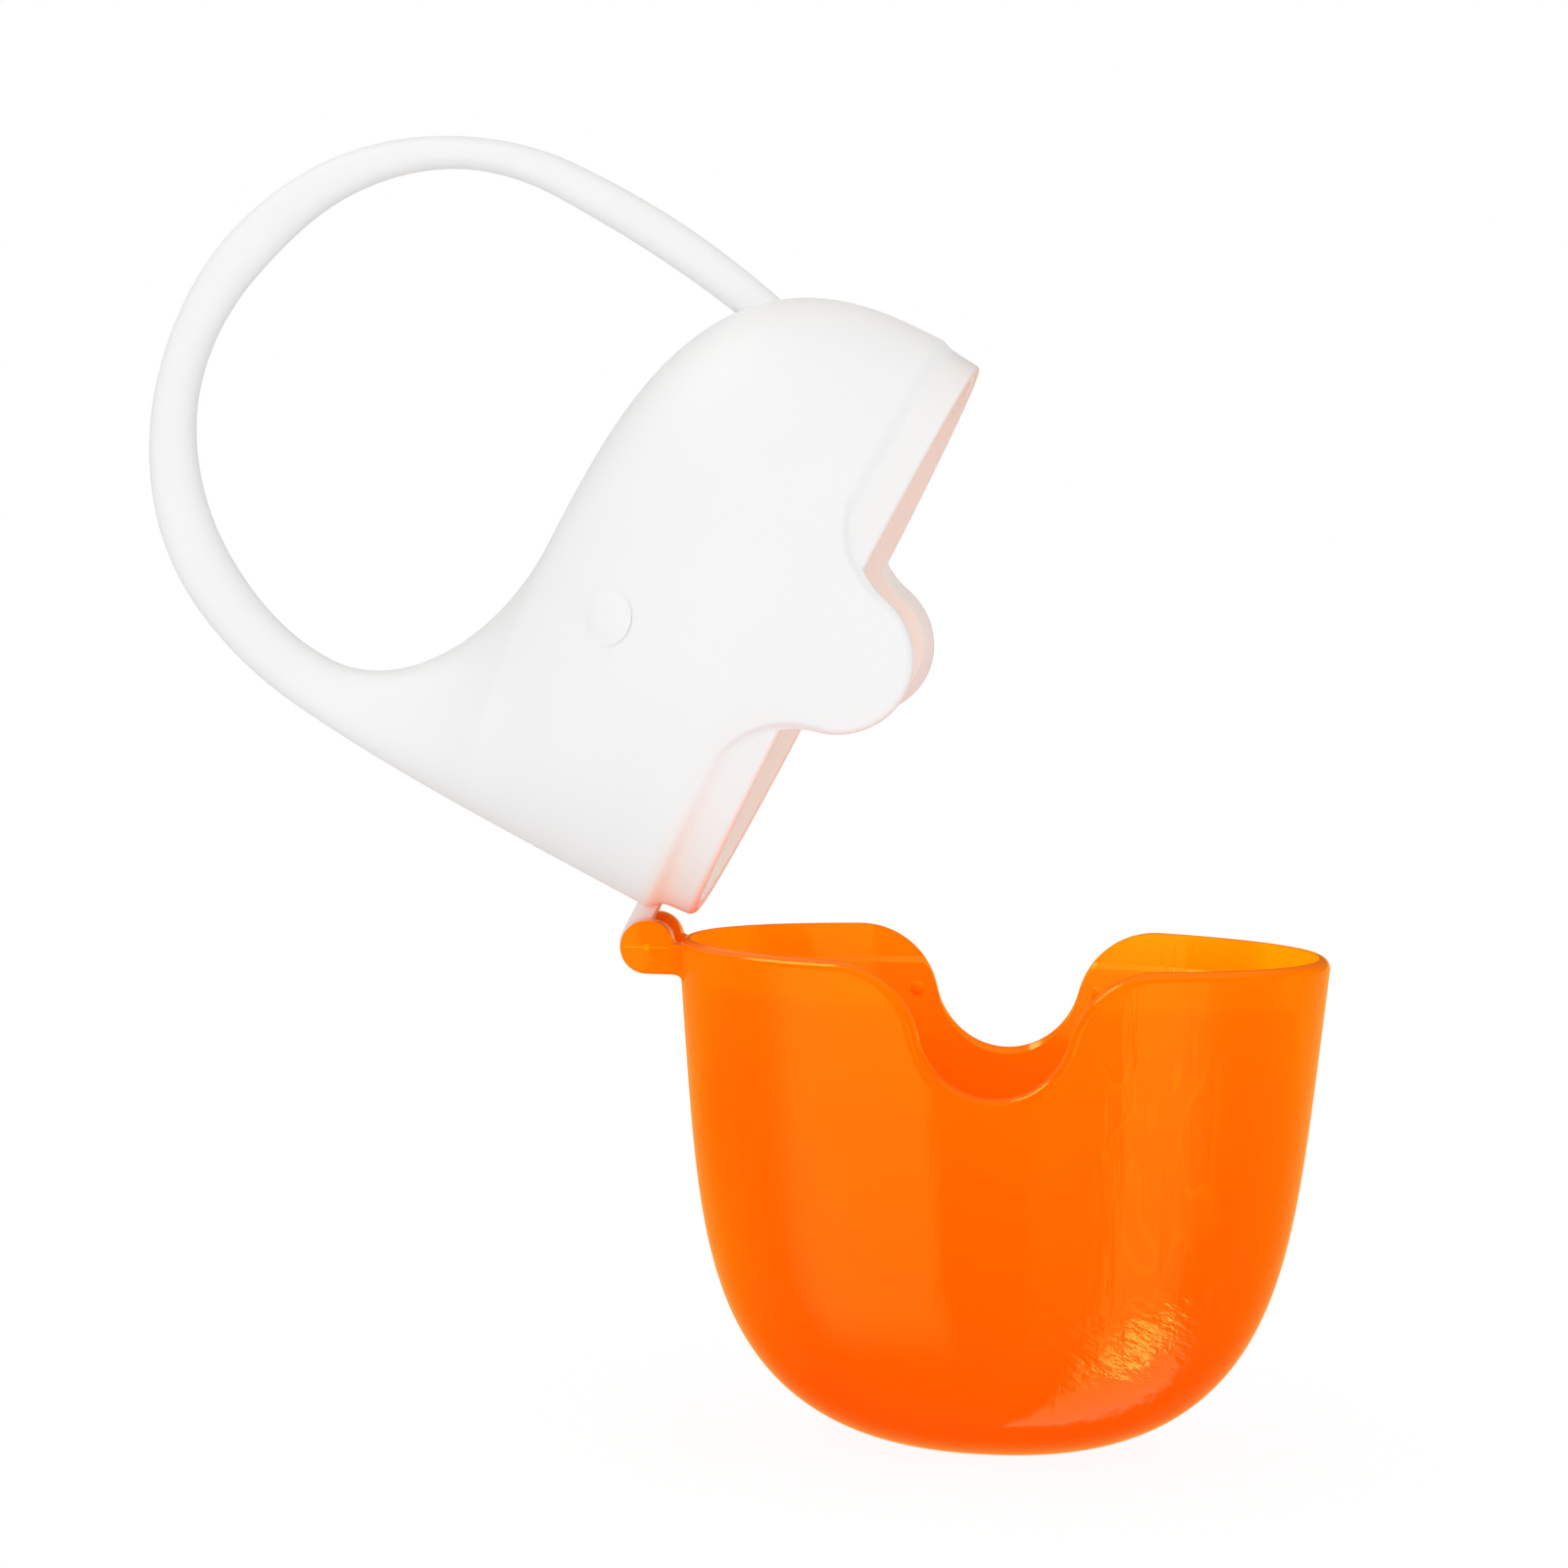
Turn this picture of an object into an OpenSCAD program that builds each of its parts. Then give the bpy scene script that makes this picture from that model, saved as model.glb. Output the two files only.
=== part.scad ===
// Pacifier case: a drafted oval bowl, a hinged domed lid with two tongues that fill the bowl's
// finger notches, and a carry loop that grows out of the lid.
// Lengths are in millimetres. The origin is the centre of the bowl's flat base, +Z is up,
// the hinge is on the -X side and the front faces -Y.

/* [Bowl] */
// Width of the case across the rim
case_w = 70; // [66:1:80]
// Depth of the case from front to back at the rim
case_d = 42; // [39:1:50]
// Height of the bowl from its flat base to its rim
bowl_h = 54.3; // [48:0.5:62]
// Squareness of the plan outline, where 2 is an ellipse
plan_power = 2.2; // [2.1:0.1:2.6]
// Share of the width that the draft takes between rim and base
bowl_draft = 0.14; // [0.08:0.005:0.16]
// Sharpness of the turn from the side wall to the base
bowl_turn = 5; // [4:0.1:6]
// Roundness of that turn in the section
bowl_round = 2.45; // [2:0.05:3]
// Width of the flat that the bowl stands on
base_w = 17; // [16:0.5:26]
// Wall of the bowl below its seat
bowl_wall = 1.9; // [1.7:0.1:2.4]
// Thickness of the bowl's floor
floor_t = 2; // [1.8:0.1:3]
// Height of the seat inside the bowl below the rim
seat_drop = 4.3; // [4:0.1:6]
// Height of the bevel that the seat has
seat_bevel = 0.6; // [0.4:0.1:1]
// Wall of the bowl above its seat
rim_wall = 1.3; // [1.25:0.05:1.5]
// Rounded edge on the outside of the rim and notches
rim_edge = 1.2; // [1:0.05:1.2]

/* [Finger notches] */
// Depth of the two finger notches below the rim
notch_depth = 13.6; // [12.6:0.2:15]
// Radius of the notch's round bottom
notch_r = 8.25; // [7.5:0.25:9]
// Radius of the shoulders between notch and rim
shoulder_r = 8.9; // [8:0.1:9.5]
// Radius of the small domes beside the notches
pip_r = 0.8; // [0.6:0.1:1.2]
// Height that each dome stands proud of the wall
pip_h = 0.35; // [0.25:0.05:0.5]
// Distance of each dome from the middle of its notch
pip_x = 10.2; // [10:0.1:12]
// Depth of each dome below the rim
pip_drop = 7.2; // [6.5:0.1:8]

/* [Lid] */
// Height of the lid's saddle above the rim
lid_h = 28.5; // [25:0.5:34]
// Place of the saddle along the case, from its middle
saddle_x = -3; // [-5:0.5:1]
// Squareness of the dome's outline
dome_power = 2.85; // [2.5:0.05:3]
// Distance of the lid's side in from the bowl's, at the hinge
hinge_in = 0.4; // [0.3:0.05:0.6]
// Distance of the lid's side in from the bowl's, at the front and back
side_in = 0.7; // [0.5:0.05:0.9]
// Distance of the lid's side in from the bowl's, at the far end
far_in = 1.1; // [0.8:0.05:1.3]
// Thickness of the soft cover
cover_t = 0.7; // [0.6:0.05:0.75]
// Rounded edge on the outside of the soft cover
cover_edge_r = 0.25; // [0.15:0.05:0.25]
// Thickness of the rigid shell
shell_t = 0.9; // [0.8:0.05:1.1]
// Thickness of the lining
liner_t = 0.8; // [0.7:0.05:1]
// Gap between two layers of the lid
layer_gap = 0.12; // [0.1:0.01:0.15]
// Height at which the lid's side stands over the rim when closed
rim_gap = 0.05; // [0.05:0.05:0.2]
// Reach of the lip into the bowl
lip_reach = 3.7; // [3:0.1:4]
// Rounded edge on the outside of the lip's end
lip_edge = 0.8; // [0.4:0.1:0.8]
// Clearance between the lip and the bowl's wall
lip_gap = 0.25; // [0.25:0.05:0.4]
// Clearance of the tongues inside the notches
tongue_gap = 0.25; // [0.2:0.05:0.4]
// Border that the lining leaves free round each tongue
tongue_border = 1.1; // [0.8:0.1:1.6]
// Height above the lip's edge at which the lining ends
lining_step = 0.2; // [0.1:0.1:1]
// Angle between the lid and the bowl as photographed
lid_open = 64; // [0:1:130]
// Radius of the round pad on the lid's front
pad_r = 1.8; // [1.2:0.1:2.4]
// Height of that pad
pad_h = 0.35; // [0.2:0.05:0.6]
// Place of that pad up the lid, as a share of its height
pad_v = 0.29; // [0.2:0.01:0.4]
// Place of that pad across the lid, as a share of its half width
pad_u = -0.08; // [-0.3:0.02:0.2]

/* [Carry loop] */
// Height of the loop's outer side above the rim at its top
loop_top = 75.9; // [68:0.2:86]
// Height above the rim at which the loop leaves the lid
root_z = 44.5; // [42:0.5:48]
// Lean of the strap's outer side in from the lid's side at its root
root_lean = 1.3; // [0.6:0.1:2]
// Distance below that at which the curve of the strap's outer side starts
outer_low = 6; // [4:0.5:8]
// Squareness of that curve, where 2 is an ellipse
outer_power = 2.2; // [2:0.1:2.4]
// Width of the strap where it leaves the lid
root_w = 6.2; // [5.6:0.1:7.5]
// Width of the strap at the loop's top
top_w = 4.5; // [3.8:0.1:5.5]
// Width of the strap at the far side
end_w = 4.1; // [3.6:0.1:5]
// Depth of the strap from front to back where it leaves the lid
root_d = 6; // [5.4:0.1:7]
// Depth of the strap from front to back along the rest of the loop
strap_d = 5; // [4.2:0.1:5.6]
// Place of the loop's top along the case
loop_x = 0.5; // [-3:0.5:3]
// Distance of the strap's outer side in from the far end of the case
loop_in = 2.5; // [2:0.1:4]
// Further distance in that it runs down to its seat on the dome
seat_in = 3; // [2:0.1:4]
// Height above the rim at which the strap's middle line ends inside its seat
seat_z = 17.5; // [16:0.5:19]
// Gap between the strap's ends and their seats
seat_gap = 0.03; // [0.02:0.01:0.1]

/* [Hinge] */
// Distance of the hinge's axis out from the bowl's end
pin_out = 2.95; // [2.95:0.05:3.4]
// Depth of the hinge's axis below the rim
pin_drop = 0.85; // [0.7:0.05:1.1]
// Diameter of the hinge pin
pin_d = 1.8; // [1.4:0.1:2]
// Radial clearance of the pin in the knuckle
pin_gap = 0.06; // [0.03:0.01:0.1]
// Radial clearance of the pin in the ears
press_gap = 0.01; // [0.01:0.01:0.02]
// Outer radius of the bowl's two ears
ear_r = 2.86; // [2.5:0.02:2.86]
// Thickness of each ear
ear_t = 2.35; // [2:0.05:2.8]
// Wall left over the pin's blind end in the front ear
ear_skin = 0.7; // [0.5:0.05:0.9]
// Outer radius of the lid's knuckle
knuckle_r = 3.25; // [3.1:0.05:3.4]
// Radius of the knuckle's side that faces the bowl
knuckle_in = 2.1; // [1.9:0.05:2.4]
// Width of the lid's knuckle
knuckle_w = 5.3; // [4.4:0.1:6]
// Side clearance between the knuckle and each ear
knuckle_gap = 0.15; // [0.1:0.05:0.3]
// Height of the lid's arm above the rim when closed
arm_gap = 0.25; // [0.2:0.05:0.4]
// Depth of the top of the ears' necks below the rim
neck_drop = 0.5; // [0.1:0.1:0.6]
// Fillet under the ears where they meet the wall
ear_fillet = 1.2; // [0.8:0.1:1.4]

/* [Hidden] */

half_w = case_w / 2;
half_d = case_d / 2;
pin_x = half_w + pin_out;
hinge_w = knuckle_w + 2 * (knuckle_gap + ear_t);

// Depth at which the bowl's section would close, so that it is base_w wide at the base
close_h = bowl_h
    / pow(1 - pow(base_w / case_w / (1 - bowl_draft), bowl_round), 1 / bowl_turn);

// Insets of the lid's layers from its outer surface above the rim
shell_in = cover_t + layer_gap;
liner_in = shell_in + shell_t + layer_gap;
cavity_in = liner_in + liner_t;

// Insets of the same layers from the bowl's outer surface below the rim
lip_in = rim_wall + lip_gap;
lining_in = lip_in + shell_t + layer_gap;
lining_end = lining_in + liner_t;

// Angle of the notch's flanks and the middle of the shoulder's circle
reach = notch_r + shoulder_r;
flank_angle = acos((reach - notch_depth) / reach);
shoulder_x = reach * sin(flank_angle);

// Steps along the notch's arcs, the plain rim, the bowl's wall, the dome, the neck and the loop
arc_steps = 5;
rim_steps = 11;
wall_rows = 13;
dome_rows = 8;
neck_rows = 7;
lid_rows = dome_rows + neck_rows;
strap_sides = 24;
strap_rows = 36;

// Height at which the lid's own outline starts, height of the jog that the shell makes under the
// cover's edge, and the share of the loop that is its arch
side_z = 0.35;
shell_jog = 0.25;
arch_share = 0.75;

// Share of the rim's size left at a depth below the rim
function draw_in(depth) = let (d = max(depth, 0))
    (1 - bowl_draft * d / bowl_h) * pow(1 - pow(d / close_h, bowl_turn), 1 / bowl_round);

// Half depth of the plan outline at a share u of the half width
function plan_share(u) = pow(max(1 - pow(min(abs(u), 1), plan_power), 0), 1 / plan_power);

// The end of the case as [share, z], eased so that the points crowd where it turns
function plain_edge(first, z) = let (start = acos(pow(first, plan_power / 2)))
    [for (i = [1:rim_steps]) [pow(cos(start * (1 - i / rim_steps)), 2 / plan_power), z]];

// Half an edge line as [share, z] from the notch's middle to the end of the case. The line is
// moved into the wall by grow, ends at rim_z, and wide is the half width that 1 stands for.
function notch_edge(grow, wide, rim_z) = let (
    rb = notch_r + grow,
    rs = shoulder_r - grow,
    zb = notch_r - notch_depth
) concat(
    [for (i = [0:arc_steps]) let (a = flank_angle * i / arc_steps)
        [rb * sin(a) / wide, zb - rb * cos(a)]],
    [for (i = [1:arc_steps]) let (a = flank_angle * (1 - i / arc_steps))
        [(shoulder_x - rs * sin(a)) / wide, min(rs * cos(a) - shoulder_r, rim_z)]],
    plain_edge(shoulder_x / wide, rim_z)
);

// A closed loop of columns [share, side, z] from half an edge line
function columns(half) = let (n = len(half) - 1) concat(
    [for (i = [n:-1:1]) [-half[i][0], -1, half[i][1]]],
    [for (i = [0:n]) [half[i][0], -1, half[i][1]]],
    [for (i = [n - 1:-1:0]) [half[i][0], 1, half[i][1]]],
    [for (i = [1:n - 1]) [-half[i][0], 1, half[i][1]]]
);

// Half an edge line that is bare along the notch's bottom and runs into full on the shoulder
function faded(bare, full) = [for (i = [0:len(full) - 1])
    let (w = i < arc_steps ? 1 : max(2 - i / arc_steps, 0)) bare[i] * w + full[i] * (1 - w)];

// Loops on the bowl's wall, inset: at each column's own z, at one level, or part of the way down
function wall_point(c, inset, z) = let (k = draw_in(-z))
    [c[0] * (half_w * k - inset), c[1] * (half_d * k - inset) * plan_share(c[0]), z];
function edge_loop(cols, inset) = [for (c = cols) wall_point(c, inset, c[2])];
function level_loop(cols, inset, z) = [for (c = cols) wall_point(c, inset, z)];
function wall_loop(cols, inset, low, share) =
    [for (c = cols) wall_point(c, inset, c[2] + (low - c[2]) * share)];

// Outlines of the lid on the case's middle plane: the hinge side rises straight into the strap,
// the far side goes over the dome to the saddle and then up the inside of the loop
dome_share = dome_rows / lid_rows;
neck_w = half_w - hinge_in - root_lean - root_w + saddle_x;
function hinge_side(v, inset) =
    [hinge_in + inset - half_w + root_lean * pow(v, 4), side_z + (root_z - side_z) * v];
function far_side(v, inset) = v <= dome_share
    ? let (a = 90 * v / dome_share)
        [saddle_x + (half_w - far_in - saddle_x - inset) * pow(max(cos(a), 0), 2 / dome_power),
         side_z + (lid_h - side_z - inset) * pow(sin(a), 2 / dome_power)]
    : let (a = 90 * (v - dome_share) / (1 - dome_share))
        [saddle_x - (neck_w + inset) * sin(a), root_z - (root_z - lid_h + inset) * cos(a)];
function lid_half_d(v) =
    root_d / 2 + (half_d - side_in - root_d / 2) * (1 + cos(180 * pow(v, 0.95))) / 2;
function lid_point(c, v, inset) = let (
    p = hinge_side(v, inset),
    q = far_side(v, inset),
    m = (p + q) / 2 + (q - p) / 2 * c[0]
) [m[0], c[1] * (lid_half_d(v) - inset) * plan_share(c[0]), m[1]];
function lid_loop(cols, v, inset) = [for (c = cols) lid_point(c, v, inset)];

// Shift of the lid's lowest outline along the case at its two ends, the cover's edge, which is
// shifted at both, and the top of the shell's jog, which is shifted at the far end
function end_shift(u) = pow(u, 4) * (u < 0 ? hinge_in - side_in : side_in - far_in);
function cover_loop(cols, inset) =
    [for (c = cols) wall_point(c, side_in + inset, c[2]) + [end_shift(c[0]), 0, 0]];
function jog_loop(cols, inset, z) =
    [for (c = cols) wall_point(c, inset, z) + [end_shift(max(c[0], 0)), 0, 0]];

// Places of a layer's rows up the lid, which end lower the further in the layer lies
function layer_end(inset) = 0.9 - 0.09 * inset;
function row_places(inset) = concat(
    [for (i = [0:floor(layer_end(inset) * lid_rows)]) i / lid_rows],
    [layer_end(inset)]
);

// Reverses a list
function flip(list) = [for (i = [len(list) - 1:-1:0]) list[i]];

// A closed skin over loops of equally many points, capped at both ends
module skin(loops) {
    n = len(loops[0]);
    m = len(loops);
    points = [for (loop = loops, p = loop) p];
    sides = [for (j = [0:m - 2], i = [0:n - 1]) let (k = (i + 1) % n, a = j * n, b = a + n)
        each [[a + i, b + k, a + k], [a + i, b + i, b + k]]];
    start = [for (i = [0:n - 1]) i];
    end = [for (i = [n - 1:-1:0]) (m - 1) * n + i];
    polyhedron(points, concat([start, end], sides), convexity = 8);
}

// Stands the lid at its photographed angle
module as_opened() {
    translate([-pin_x, 0, bowl_h - pin_drop]) rotate([0, -lid_open, 0])
        translate([pin_x, 0, pin_drop]) children();
}

// Turns a cylinder's axis onto the hinge's
module on_hinge_axis() {
    translate([-pin_x, 0, -pin_drop]) rotate([-90, 0, 0]) children();
}

// Turns a side view with its origin on the hinge's axis into a plate across it
module plate(y, t) {
    translate([-pin_x, y, -pin_drop]) rotate([90, 0, 0])
        linear_extrude(t, center = true) children();
}

// Bowl with its seat, notches, small domes and hinge ears

module bowl_body() {
    bend = rim_edge * 0.3;
    outer = columns(notch_edge(rim_edge, half_w * draw_in(rim_edge), -rim_edge));
    round = columns(notch_edge(bend, half_w - bend, -bend));
    top = columns(notch_edge(0, half_w - rim_edge, 0));
    inner = columns(notch_edge(0, half_w - rim_wall, 0));
    neck = [for (c = inner) [c[0], c[1], min(c[2] - 0.1, seat_bevel - seat_drop)]];
    seat = [for (c = neck) [c[0], c[1], c[2] - seat_bevel]];
    skin(concat(
        [for (i = [wall_rows:-1:1]) wall_loop(outer, 0, -bowl_h, sin(90 * i / wall_rows))],
        [edge_loop(outer, 0)],
        [edge_loop(round, bend)],
        [edge_loop(top, rim_edge)],
        [edge_loop(inner, rim_wall)],
        [edge_loop(neck, rim_wall)],
        [edge_loop(seat, bowl_wall)],
        [for (i = [1:wall_rows])
            wall_loop(seat, bowl_wall, floor_t - bowl_h, sin(90 * i / wall_rows))]
    ));
}

module pips() {
    k = draw_in(pip_drop);
    y = (half_d * k - bowl_wall) * plan_share(pip_x / (half_w * k - bowl_wall));
    ball_r = (pip_r * pip_r + pip_h * pip_h) / (2 * pip_h);
    for (x = [-pip_x, pip_x], s = [-1, 1])
        translate([x, s * (y + ball_r - pip_h), -pip_drop]) intersection() {
            sphere(ball_r, $fn = 48);
            rotate([s * 90, 0, 0]) cylinder(h = ball_r, r = pip_r, $fn = 32);
        }
}

module ear_outline() {
    into_wall = pin_out + rim_wall;
    neck_top = pin_drop - neck_drop;
    low = pin_drop + ear_r + ear_fillet;
    wall_x = half_w * draw_in(low) * plan_share(hinge_w / 2 / half_d);
    foot_x = pin_x - wall_x - ear_fillet;
    circle(ear_r, $fn = 96);
    translate([0, -ear_r]) square([into_wall, ear_r + neck_top]);
    difference() {
        translate([foot_x, -ear_r - ear_fillet])
            square([into_wall - foot_x, ear_fillet + 0.1]);
        translate([foot_x, -ear_r - ear_fillet]) circle(ear_fillet, $fn = 64);
    }
}

module bowl() {
    ear_y = (knuckle_w + ear_t) / 2 + knuckle_gap;
    color("darkorange") translate([0, 0, bowl_h]) difference() {
        union() {
            bowl_body();
            pips();
            plate(-ear_y, ear_t) ear_outline();
            plate(ear_y, ear_t) ear_outline();
        }
        on_hinge_axis() translate([0, 0, ear_skin - hinge_w / 2])
            cylinder(h = hinge_w, d = pin_d + 2 * press_gap, $fn = 48);
    }
}

// Hinge pin, pressed in from the back

module hinge_pin() {
    color("white") translate([0, 0, bowl_h]) on_hinge_axis()
        translate([0, 0, ear_skin + press_gap - hinge_w / 2])
            cylinder(h = hinge_w - ear_skin - press_gap - 0.1, d = pin_d, $fn = 48);
}

// Rigid shell of the lid with its lip, tongues' backs and hinge knuckle

module shell_body() {
    wide = half_w - lip_in;
    bend = lip_edge * 0.3;
    outer = columns(notch_edge(-tongue_gap - lip_edge, wide, lip_edge - lip_reach));
    round = columns(notch_edge(-tongue_gap - bend, wide - bend, bend - lip_reach));
    end = columns(notch_edge(-tongue_gap, wide - lip_edge, -lip_reach));
    inner = columns(notch_edge(-tongue_gap, wide - shell_t, -lip_reach));
    skin(concat(
        [for (v = flip(row_places(shell_in + shell_t))) lid_loop(inner, v, shell_in + shell_t)],
        [level_loop(inner, lip_in + shell_t, rim_gap)],
        [edge_loop(inner, lip_in + shell_t)],
        [edge_loop(end, lip_in + lip_edge)],
        [edge_loop(round, lip_in + bend)],
        [edge_loop(outer, lip_in)],
        [level_loop(outer, lip_in, rim_gap - layer_gap - shell_jog)],
        [jog_loop(outer, lip_in, rim_gap - layer_gap)],
        [for (v = row_places(shell_in)) lid_loop(outer, v, shell_in)]
    ));
}

module knuckle_outline() {
    arm_z = pin_drop + arm_gap;
    into_shell = pin_out + hinge_in + shell_in + shell_t * 0.5;
    circle(knuckle_in, $fn = 96);
    intersection() {
        circle(knuckle_r, $fn = 96);
        translate([-knuckle_r, arm_z]) square([knuckle_r * 2, knuckle_r]);
    }
    translate([0, arm_z]) square([into_shell, knuckle_r - arm_z]);
}

module lid_shell() {
    color("white") as_opened() difference() {
        union() {
            shell_body();
            plate(0, knuckle_w) knuckle_outline();
        }
        on_hinge_axis() cylinder(h = hinge_w, d = pin_d + 2 * pin_gap, center = true, $fn = 48);
    }
}

// Soft cover of the lid with its tongues

cover_edge = columns(notch_edge(-tongue_gap, half_w - side_in, rim_gap));

module cover_body() {
    wide = half_w - side_in;
    inner = columns(notch_edge(-tongue_gap, wide - cover_t, rim_gap));
    end = columns(notch_edge(-tongue_gap, wide - cover_edge_r, rim_gap));
    outer = columns(notch_edge(-tongue_gap - cover_edge_r, wide, rim_gap + cover_edge_r));
    skin(concat(
        [for (v = flip(row_places(cover_t))) lid_loop(inner, v, cover_t)],
        [cover_loop(inner, cover_t)],
        [cover_loop(end, cover_edge_r)],
        [cover_loop(outer, 0)],
        [for (i = [0:lid_rows]) lid_loop(cover_edge, i / lid_rows, 0)]
    ));
}

module pad() {
    at = lid_point([pad_u, -1], pad_v, 0);
    across = lid_point([pad_u + 0.01, -1], pad_v, 0) - at;
    up = lid_point([pad_u, -1], pad_v + 0.01, 0) - at;
    n = cross(across, up) / norm(cross(across, up));
    translate(at) rotate([0, acos(n[2]), atan2(n[1], n[0])])
        translate([0, 0, -cover_t / 2]) cylinder(h = cover_t / 2 + pad_h, r = pad_r, $fn = 48);
}

module lid_cover() {
    slot_w = knuckle_w + 0.3;
    slot_top = knuckle_r - pin_drop + 0.15;
    color("whitesmoke") as_opened() difference() {
        union() {
            cover_body();
            pad();
        }
        translate([-half_w - 1, -slot_w / 2, -1]) cube([4, slot_w, slot_top + 1]);
    }
}

// Lining inside the shell

module lid_liner() {
    low = lining_step - lip_reach;
    bare = tongue_gap + tongue_border;
    outer = columns(faded(notch_edge(-bare, half_w - lining_in, low),
        notch_edge(-tongue_gap, half_w - lining_in, low)));
    inner = columns(faded(notch_edge(-bare, half_w - lining_end, low),
        notch_edge(-tongue_gap, half_w - lining_end, low)));
    color("peachpuff") as_opened() skin(concat(
        [for (v = flip(row_places(cavity_in))) lid_loop(inner, v, cavity_in)],
        [level_loop(inner, lining_end, rim_gap)],
        [edge_loop(inner, lining_end)],
        [edge_loop(outer, lining_in)],
        [level_loop(outer, lining_in, rim_gap)],
        [for (v = row_places(liner_in)) lid_loop(outer, v, liner_in)]
    ));
}

// Carry loop, from the lid's neck over the top and down to its seat on the dome

root_x = hinge_side(1, 0)[0];
end_x = half_w - loop_in;

// One side of the strap on the middle plane: a quarter curve from its root up to the top that
// starts at low, a quarter ellipse from the top to the far side, and the stretch down to the seat
function rising_side(share, from_x, top, low, power) = let (
    start = asin(pow((root_z - low) / (top - low), power / 2)),
    a = start + (90 - start) * share,
    radius = (loop_x - from_x) / pow(cos(start), 2 / power)
) [loop_x - radius * pow(max(cos(a), 0), 2 / power), low + (top - low) * pow(sin(a), 2 / power)];
function falling_side(share, top, to_x) =
    [loop_x + (to_x - loop_x) * sin(90 * share), root_z + (top - root_z) * cos(90 * share)];
function seated_side(share, to_x) =
    [to_x - seat_in * share * share, root_z - (root_z - seat_z) * share];
function strap_side(t, from_x, top, to_x, low, power) =
    t < arch_share / 2 ? rising_side(2 * t / arch_share, from_x, top, low, power)
    : t < arch_share ? falling_side(2 * t / arch_share - 1, top, to_x)
    : seated_side((t - arch_share) / (1 - arch_share), to_x);

module strap_body() {
    skin([for (j = [0:strap_rows]) let (
        t = j / strap_rows,
        p = strap_side(t, root_x, loop_top, end_x, root_z - outer_low, outer_power),
        q = strap_side(t, root_x + root_w, loop_top - top_w, end_x - end_w, root_z, 2),
        s = min(t / 0.3, 1),
        h = (root_d + (strap_d - root_d) * s * s * (3 - 2 * s)) / 2
    ) [for (i = [0:strap_sides - 1]) let (
        a = 360 * i / strap_sides,
        u = sign(cos(a)) * pow(abs(cos(a)), 2 / plan_power),
        y = -sign(sin(a)) * pow(abs(sin(a)), 2 / plan_power),
        m = (p + q) / 2 + (p - q) / 2 * u
    ) [m[0], h * y, m[1] + seat_gap]]]);
}

module carry_loop() {
    color("white") as_opened() difference() {
        strap_body();
        skin([for (i = [0:dome_rows + 1]) lid_loop(cover_edge, i / lid_rows, -seat_gap)]);
    }
}

bowl();
hinge_pin();
lid_shell();
lid_cover();
lid_liner();
carry_loop();
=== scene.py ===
import math

import bmesh
import bpy
import numpy as np
from mathutils import Matrix, Vector


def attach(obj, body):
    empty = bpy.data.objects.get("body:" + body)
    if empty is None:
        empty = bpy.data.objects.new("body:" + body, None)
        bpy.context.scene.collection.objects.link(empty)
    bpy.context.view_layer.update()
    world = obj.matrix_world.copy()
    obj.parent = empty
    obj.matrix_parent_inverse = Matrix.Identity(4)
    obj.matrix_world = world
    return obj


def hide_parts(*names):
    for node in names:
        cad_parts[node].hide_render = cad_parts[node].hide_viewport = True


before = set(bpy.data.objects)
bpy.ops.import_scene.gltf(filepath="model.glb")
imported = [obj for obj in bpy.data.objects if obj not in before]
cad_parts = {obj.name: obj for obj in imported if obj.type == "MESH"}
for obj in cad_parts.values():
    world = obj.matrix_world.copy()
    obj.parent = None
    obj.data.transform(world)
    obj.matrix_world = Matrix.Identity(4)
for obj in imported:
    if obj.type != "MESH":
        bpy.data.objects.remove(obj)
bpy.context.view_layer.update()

# Sizes in millimetres, the same as the solids have

# The case, the squareness of its plan, and how its wall draws in towards the foot
CASE_W, CASE_D, BOWL_H, PLAN_P = 70.0, 42.0, 54.3, 2.2
DRAFT, TURN, ROUND, BASE_W = 0.14, 5.0, 2.45, 17.0
# The bowl's wall, floor, seat, rim, notches and pips
BOWL_WALL, FLOOR_T, SEAT_DROP, SEAT_BEVEL = 1.9, 2.0, 4.3, 0.6
RIM_WALL, RIM_EDGE = 1.3, 1.2
NOTCH_DEPTH, NOTCH_R, SHOULDER_R = 13.6, 8.25, 8.9
PIP_R, PIP_H, PIP_X, PIP_DROP = 0.8, 0.35, 10.2, 7.2
# The lid's outline, its layers, lip, tongues and pad, and how far it stands open in degrees
LID_H, SADDLE_X, DOME_P, SIDE_Z, NARROW_P = 28.5, -3.0, 2.85, 0.35, 0.95
HINGE_IN, SIDE_IN, FAR_IN = 0.4, 0.7, 1.1
COVER_T, SHELL_T, LINER_T, LAYER_GAP = 0.7, 0.9, 0.8, 0.12
RIM_GAP, LIP_REACH, LIP_EDGE, LIP_GAP, TONGUE_GAP = 0.05, 3.7, 0.8, 0.25, 0.25
TONGUE_BORDER, LINING_STEP, SHELL_JOG = 1.1, 0.2, 0.25
PAD_R, PAD_H, PAD_V, PAD_U = 1.8, 0.35, 0.29, -0.08
LID_OPEN = 64.0
# The loop: its root, top, far end and seat, and the curve of its outer and inner side
ROOT_Z, ROOT_LEAN, LEAN_P, ROOT_W, ROOT_D = 44.5, 1.3, 4, 6.2, 6.0
LOOP_TOP, LOOP_X, TOP_W, STRAP_D = 75.9, 0.5, 4.5, 5.0
LOOP_IN, END_W, SEAT_IN, SEAT_Z = 2.5, 4.1, 3.0, 17.5
OUTER_LOW, OUTER_P, INNER_P = 6.0, 2.2, 2.0
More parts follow.
